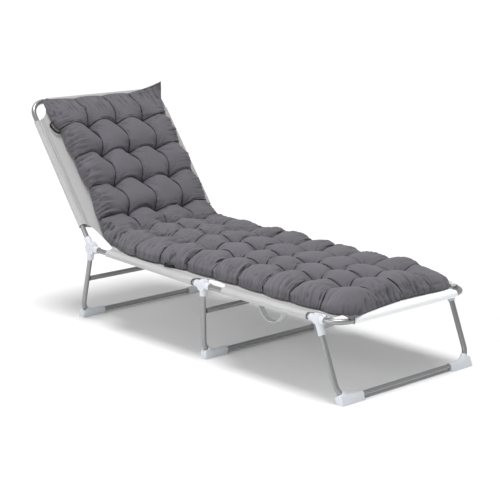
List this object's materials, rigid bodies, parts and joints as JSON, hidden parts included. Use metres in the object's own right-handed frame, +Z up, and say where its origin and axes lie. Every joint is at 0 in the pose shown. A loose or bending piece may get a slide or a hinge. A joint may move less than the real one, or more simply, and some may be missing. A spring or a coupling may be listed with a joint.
{
  "type": "tufted sun lounger cushion on a plain folding lounger",
  "caption": "Long tufted grey cushion with elastic loops, lying on a plain folding sun lounger with its back raised.",
  "frame": {"origin": "on the floor, under the middle of the lounger's overall length and width", "axes": "+X from the head end to the foot end, +Y towards the long side without elastic loops, +Z up"},
  "size_m": [1.6743, 0.628, 0.8129],
  "materials": {
    "cushion_cloth": "matt fine woven polyester, dark grey",
    "elastic": "flat black elastic",
    "sling_fabric": "fine woven light grey",
    "end_sleeve": "smooth coated white cloth",
    "strap_webbing": "flat woven webbing, grey",
    "frame_tube": "satin grey powder coat",
    "fitting_plastic": "satin moulded, pale bluish grey"
  },
  "bodies": {
    "root": {"cushion": "cushion_cloth", "elastic_loop_head": "elastic", "elastic_loop_seat": "elastic", "sling": "sling_fabric", "foot_sleeve": "end_sleeve", "carry_strap": "strap_webbing", "back_tube": "frame_tube", "foot_tube": "frame_tube", "seat_rail_near": "frame_tube", "seat_rail_far": "frame_tube", "head_leg": "frame_tube", "middle_leg": "frame_tube", "foot_leg": "frame_tube", "head_cross_bar": "frame_tube", "middle_cross_bar": "frame_tube", "head_hinge_near": "fitting_plastic", "head_hinge_far": "fitting_plastic", "middle_hinge_near": "fitting_plastic", "middle_hinge_far": "fitting_plastic", "foot_bracket_near": "fitting_plastic", "foot_bracket_far": "fitting_plastic", "head_cap_near": "fitting_plastic", "head_cap_far": "fitting_plastic", "middle_cap_near": "fitting_plastic", "middle_cap_far": "fitting_plastic", "foot_cap_near": "fitting_plastic", "foot_cap_far": "fitting_plastic"}
  },
  "joints": []
}
